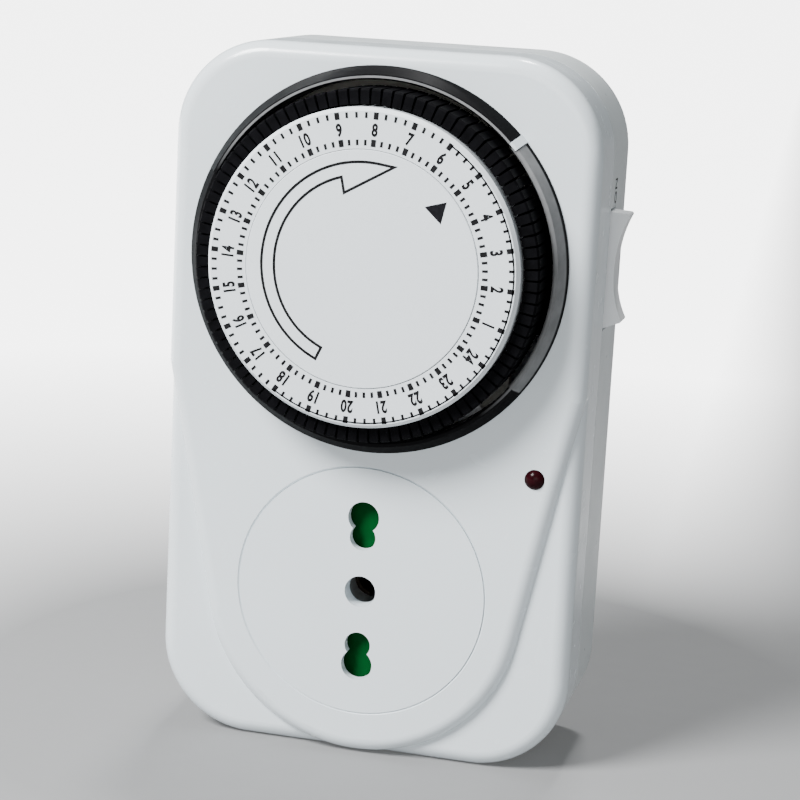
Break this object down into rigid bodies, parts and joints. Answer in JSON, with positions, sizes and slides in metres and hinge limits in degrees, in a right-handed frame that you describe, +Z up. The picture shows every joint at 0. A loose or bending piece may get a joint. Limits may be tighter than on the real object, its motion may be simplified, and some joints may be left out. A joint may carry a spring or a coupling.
{
  "type": "plug-in timer switch",
  "caption": "Flat white plug-in 24-hour timer with three in-line round pins behind, an in-line socket in front, a dial ringed by black tappets, a side rocker and a red lamp.",
  "frame": {"origin": "on the earth pin's axis, in the face of the plug boss that meets the wall socket", "axes": "+Y into the wall along the pins, +Z up along the longest side, +X to the right as seen from the front; the dial faces -Y"},
  "size_m": [0.0752, 0.061, 0.1204],
  "materials": {
    "case": "satin white ABS, lightly glossy",
    "dial_white": "smooth white",
    "rocker": "satin light grey",
    "black_gloss": "glossy black",
    "black": "satin black",
    "shutter": "satin green",
    "red_lens": "clear dark red",
    "inner_moulding": "satin off-white",
    "sleeve": "satin black",
    "nickel": "nickel plated",
    "brass": "bare sheet brass",
    "steel": "zinc plated",
    "motor_can": "plated sheet steel",
    "gear": "natural acetal",
    "lamp_glass": "clear glass",
    "board": "paper laminate"
  },
  "bodies": {
    "case": {"front_cover": "case", "rear_cover": "case", "case_screws": "steel", "socket_face": "case", "shutter_spring": "steel", "socket_body": "inner_moulding", "line_contact": "brass", "neutral_contact": "brass", "earth_contact": "brass", "line_pin": "nickel", "neutral_pin": "nickel", "earth_pin": "nickel", "pin_sleeves": "sleeve", "dial_collar": "black_gloss", "centre_cap": "dial_white", "mechanism_plate": "inner_moulding", "plate_screws": "steel", "synchronous_motor": "motor_can", "motor_screws": "steel", "idler_shaft": "steel", "lever_pivot": "steel", "microswitch": "black", "rocker_housing": "black", "rocker_terminals": "brass", "indicator_lens": "red_lens", "indicator_lamp": "lamp_glass", "indicator_board": "board"},
    "dial": {"dial_wheel": "black", "number_ring": "dial_white"},
    "tappets_01": {"hour_tappets_01": "black"},
    "tappets_02": {"hour_tappets_02": "black"},
    "tappets_03": {"hour_tappets_03": "black"},
    "tappets_04": {"hour_tappets_04": "black"},
    "tappets_05": {"hour_tappets_05": "black"},
    "tappets_06": {"hour_tappets_06": "black"},
    "tappets_07": {"hour_tappets_07": "black"},
    "tappets_08": {"hour_tappets_08": "black"},
    "tappets_09": {"hour_tappets_09": "black"},
    "tappets_10": {"hour_tappets_10": "black"},
    "tappets_11": {"hour_tappets_11": "black"},
    "tappets_12": {"hour_tappets_12": "black"},
    "tappets_13": {"hour_tappets_13": "black"},
    "tappets_14": {"hour_tappets_14": "black"},
    "tappets_15": {"hour_tappets_15": "black"},
    "tappets_16": {"hour_tappets_16": "black"},
    "tappets_17": {"hour_tappets_17": "black"},
    "tappets_18": {"hour_tappets_18": "black"},
    "tappets_19": {"hour_tappets_19": "black"},
    "tappets_20": {"hour_tappets_20": "black"},
    "tappets_21": {"hour_tappets_21": "black"},
    "tappets_22": {"hour_tappets_22": "black"},
    "tappets_23": {"hour_tappets_23": "black"},
    "tappets_24": {"hour_tappets_24": "black"},
    "idler": {"idler_gear": "gear"},
    "pinion": {"motor_pinion": "gear"},
    "lever": {"switch_lever": "gear"},
    "plunger": {"microswitch_plunger": "gear"},
    "rocker": {"rocker_button": "rocker"},
    "shutter": {"safety_shutter": "shutter"}
  },
  "joints": [
    {"name": "dial_turn", "type": "hinge", "parent": "case", "child": "dial", "pos_m": [0, -0.0335, 0.0565], "axis": [0, 1, 0], "continuous": true},
    {"name": "tappets_01_press", "type": "slide", "parent": "dial", "child": "tappets_01", "axis": [0, 1, 0], "range_m": [0, 0.003]},
    {"name": "tappets_02_press", "type": "slide", "parent": "dial", "child": "tappets_02", "axis": [0, 1, 0], "range_m": [0, 0.003]},
    {"name": "tappets_03_press", "type": "slide", "parent": "dial", "child": "tappets_03", "axis": [0, 1, 0], "range_m": [0, 0.003]},
    {"name": "tappets_04_press", "type": "slide", "parent": "dial", "child": "tappets_04", "axis": [0, 1, 0], "range_m": [0, 0.003]},
    {"name": "tappets_05_press", "type": "slide", "parent": "dial", "child": "tappets_05", "axis": [0, 1, 0], "range_m": [0, 0.003]},
    {"name": "tappets_06_press", "type": "slide", "parent": "dial", "child": "tappets_06", "axis": [0, 1, 0], "range_m": [0, 0.003]},
    {"name": "tappets_07_press", "type": "slide", "parent": "dial", "child": "tappets_07", "axis": [0, 1, 0], "range_m": [0, 0.003]},
    {"name": "tappets_08_press", "type": "slide", "parent": "dial", "child": "tappets_08", "axis": [0, 1, 0], "range_m": [0, 0.003]},
    {"name": "tappets_09_press", "type": "slide", "parent": "dial", "child": "tappets_09", "axis": [0, 1, 0], "range_m": [0, 0.003]},
    {"name": "tappets_10_press", "type": "slide", "parent": "dial", "child": "tappets_10", "axis": [0, 1, 0], "range_m": [0, 0.003]},
    {"name": "tappets_11_press", "type": "slide", "parent": "dial", "child": "tappets_11", "axis": [0, 1, 0], "range_m": [0, 0.003]},
    {"name": "tappets_12_press", "type": "slide", "parent": "dial", "child": "tappets_12", "axis": [0, 1, 0], "range_m": [0, 0.003]},
    {"name": "tappets_13_press", "type": "slide", "parent": "dial", "child": "tappets_13", "axis": [0, 1, 0], "range_m": [0, 0.003]},
    {"name": "tappets_14_press", "type": "slide", "parent": "dial", "child": "tappets_14", "axis": [0, 1, 0], "range_m": [0, 0.003]},
    {"name": "tappets_15_press", "type": "slide", "parent": "dial", "child": "tappets_15", "axis": [0, 1, 0], "range_m": [0, 0.003]},
    {"name": "tappets_16_press", "type": "slide", "parent": "dial", "child": "tappets_16", "axis": [0, 1, 0], "range_m": [0, 0.003]},
    {"name": "tappets_17_press", "type": "slide", "parent": "dial", "child": "tappets_17", "axis": [0, 1, 0], "range_m": [0, 0.003]},
    {"name": "tappets_18_press", "type": "slide", "parent": "dial", "child": "tappets_18", "axis": [0, 1, 0], "range_m": [0, 0.003]},
    {"name": "tappets_19_press", "type": "slide", "parent": "dial", "child": "tappets_19", "axis": [0, 1, 0], "range_m": [0, 0.003]},
    {"name": "tappets_20_press", "type": "slide", "parent": "dial", "child": "tappets_20", "axis": [0, 1, 0], "range_m": [0, 0.003]},
    {"name": "tappets_21_press", "type": "slide", "parent": "dial", "child": "tappets_21", "axis": [0, 1, 0], "range_m": [0, 0.003]},
    {"name": "tappets_22_press", "type": "slide", "parent": "dial", "child": "tappets_22", "axis": [0, 1, 0], "range_m": [0, 0.003]},
    {"name": "tappets_23_press", "type": "slide", "parent": "dial", "child": "tappets_23", "axis": [0, 1, 0], "range_m": [0, 0.003]},
    {"name": "tappets_24_press", "type": "slide", "parent": "dial", "child": "tappets_24", "axis": [0, 1, 0], "range_m": [0, 0.003]},
    {"name": "idler_turn", "type": "hinge", "parent": "case", "child": "idler", "pos_m": [-0.02068, -0.0225, 0.03914], "axis": [0, 1, 0], "continuous": true},
    {"name": "pinion_turn", "type": "hinge", "parent": "case", "child": "pinion", "pos_m": [-0.01318, -0.0225, 0.05214], "axis": [0, 1, 0], "continuous": true},
    {"name": "lever_swing", "type": "hinge", "parent": "case", "child": "lever", "pos_m": [0.031, -0.0223, 0.07533], "axis": [0, 0, -1], "range_deg": [0, 6.4]},
    {"name": "plunger_press", "type": "slide", "parent": "case", "child": "plunger", "axis": [0, 1, 0], "range_m": [0, 0.0007]},
    {"name": "rocker_tilt", "type": "hinge", "parent": "case", "child": "rocker", "pos_m": [0.0324, -0.01595, 0.0565], "axis": [0, 1, 0], "range_deg": [-6, 6]},
    {"name": "shutter_slide", "type": "slide", "parent": "case", "child": "shutter", "axis": [1, 0, 0], "range_m": [0, 0.0062], "stiffness_N_per_m": 60, "springref_m": -0.003, "deforming": ["shutter_spring"]}
  ],
  "couplings": [
    {"joint": "idler_turn", "follows": "dial_turn", "ratio": -8},
    {"joint": "pinion_turn", "follows": "dial_turn", "ratio": 32},
    {"joint": "lever_swing", "follows": "tappets_05_press", "rad_per_m": 37},
    {"joint": "plunger_press", "follows": "tappets_05_press", "ratio": 0.232}
  ]
}
